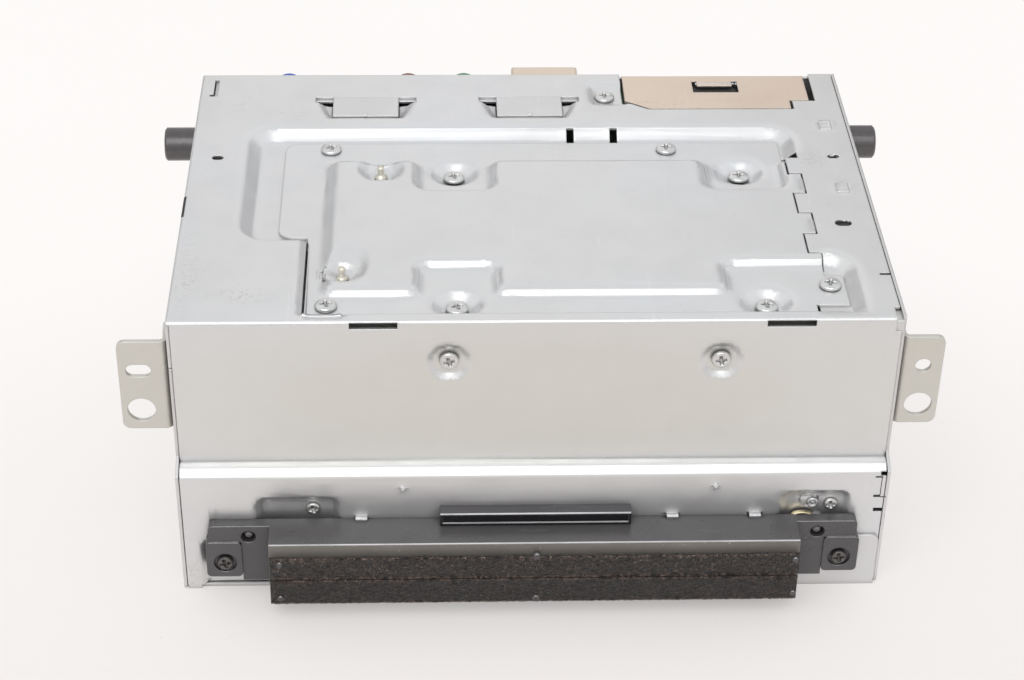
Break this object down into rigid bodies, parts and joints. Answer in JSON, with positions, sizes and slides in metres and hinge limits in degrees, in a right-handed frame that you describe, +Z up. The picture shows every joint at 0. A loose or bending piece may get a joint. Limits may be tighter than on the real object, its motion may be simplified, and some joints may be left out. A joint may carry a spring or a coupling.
{
  "type": "car navigation head unit",
  "caption": "Two-slot car navigation and disc player chassis: steel case, disc slot bezel, hard disk carrier lid, mounting ears and a working disc loading deck.",
  "frame": {"origin": "bottom face of the case, middle of the width, in the plane of the upper front", "axes": "+Z up, +Y from the front to the rear, +X to the right as seen from the front"},
  "size_m": [0.2033, 0.1544, 0.0811],
  "materials": {
    "plated_steel": "matt zinc plate with a light sheen",
    "tin_plate": "warm grey tin plate, satin",
    "bright_steel": "bright machined steel",
    "black_screw": "black zinc, satin",
    "zinc_screw": "bright zinc, pressed head",
    "dark_bush": "blackened steel, worn satin",
    "cream_stud": "cream moulded nylon, satin",
    "black_plastic": "black moulded, satin",
    "dark_plastic": "dark grey moulded, satin",
    "white_plastic": "natural white acetal",
    "blue_plastic": "blue moulded, satin",
    "brown_plastic": "brown moulded, satin",
    "green_plastic": "green moulded, satin",
    "felt": "dark brown-grey felt",
    "circuit_board": "green solder resist on glass fibre board",
    "cast_aluminium": "cast, fine matt",
    "rubber": "black rubber, matt",
    "lens": "clear coated lens"
  },
  "bodies": {
    "casing": {"top_cover": "plated_steel", "left_side_panel": "plated_steel", "right_side_panel": "plated_steel", "base_panel": "plated_steel", "rear_panel": "plated_steel", "disk_carrier_lid": "plated_steel", "lid_screws": "zinc_screw", "disk_screws": "zinc_screw", "lid_studs": "cream_stud", "front_screws": "zinc_screw", "bezel_screws": "black_screw", "front_brace": "plated_steel", "tuner_shield": "tin_plate", "tuner_board": "circuit_board", "left_ear": "plated_steel", "right_ear": "plated_steel", "side_screws": "zinc_screw", "left_bush": "dark_bush", "right_bush": "dark_bush", "slot_bezel": "black_plastic", "upper_felt": "felt", "lower_felt": "felt", "bezel_top_bar": "black_plastic", "blue_coax_socket": "blue_plastic", "brown_coax_socket": "brown_plastic", "green_coax_socket": "green_plastic", "video_connector": "bright_steel", "main_connector": "black_plastic", "connector_pins": "bright_steel", "hard_disk": "cast_aluminium", "disk_link_board": "circuit_board", "board_tray": "plated_steel", "board_screws": "bright_steel", "main_board": "circuit_board", "processor": "dark_plastic", "heat_sink": "cast_aluminium", "capacitors": "dark_plastic", "deck_base": "plated_steel", "deck_top_plate": "plated_steel", "disc_guide": "dark_plastic", "deck_dampers": "rubber", "spindle_motor": "bright_steel", "guide_rods": "bright_steel", "sled_motor": "bright_steel", "loading_motor": "bright_steel", "clamp_hinge_pin": "bright_steel"},
    "roller": {"loading_roller": "rubber", "roller_shaft": "bright_steel", "roller_gear": "white_plastic"},
    "idler": {"idler_gear": "white_plastic"},
    "motor_drive": {"motor_pinion": "white_plastic"},
    "turntable": {"turntable": "dark_plastic"},
    "sled": {"pickup_sled": "cast_aluminium", "pickup_lens": "lens"},
    "lead_screw": {"lead_screw": "bright_steel"},
    "clamp_arm": {"clamp_arm": "plated_steel"},
    "clamp_puck": {"clamp_puck": "dark_plastic"},
    "left_lever": {"left_disc_lever": "dark_plastic"},
    "right_lever": {"right_disc_lever": "dark_plastic"}
  },
  "joints": [
    {"name": "roller_spin", "type": "hinge", "parent": "casing", "child": "roller", "pos_m": [0, 0.009, 0.0096], "axis": [1, 0, 0], "continuous": true},
    {"name": "idler_spin", "type": "hinge", "parent": "casing", "child": "idler", "pos_m": [-0.0784, 0.02484, 0.01537], "axis": [1, 0, 0], "continuous": true},
    {"name": "motor_spin", "type": "hinge", "parent": "casing", "child": "motor_drive", "pos_m": [-0.0784, 0.0383, 0.01774], "axis": [1, 0, 0], "continuous": true},
    {"name": "turntable_spin", "type": "hinge", "parent": "casing", "child": "turntable", "pos_m": [0, 0.059, 0.01], "axis": [0, 0, 1], "continuous": true},
    {"name": "sled_travel", "type": "slide", "parent": "casing", "child": "sled", "axis": [1, 0, 0], "range_m": [0, 0.034]},
    {"name": "lead_screw_turn", "type": "hinge", "parent": "casing", "child": "lead_screw", "pos_m": [0.04, 0.086, 0.0093], "axis": [1, 0, 0], "continuous": true},
    {"name": "clamp_arm_lower", "type": "hinge", "parent": "casing", "child": "clamp_arm", "pos_m": [0, 0.108, 0.022], "axis": [1, 0, 0], "range_deg": [0, 7]},
    {"name": "puck_spin", "type": "hinge", "parent": "clamp_arm", "child": "clamp_puck", "pos_m": [0, 0.05887, 0.0239], "axis": [0, 0.1219, 0.9925], "continuous": true},
    {"name": "left_lever_swing", "type": "hinge", "parent": "casing", "child": "left_lever", "pos_m": [-0.062, 0.104, 0.023], "axis": [0, 0, 1], "range_deg": [0, 22], "stiffness_Nm_per_rad": 0.002},
    {"name": "right_lever_swing", "type": "hinge", "parent": "casing", "child": "right_lever", "pos_m": [0.062, 0.104, 0.023], "axis": [0, 0, -1], "range_deg": [0, 22], "stiffness_Nm_per_rad": 0.002}
  ],
  "couplings": [
    {"joint": "idler_spin", "follows": "roller_spin", "ratio": -0.75},
    {"joint": "motor_spin", "follows": "roller_spin", "ratio": 1.8},
    {"joint": "lead_screw_turn", "follows": "sled_travel", "rad_per_m": 1047.2}
  ]
}
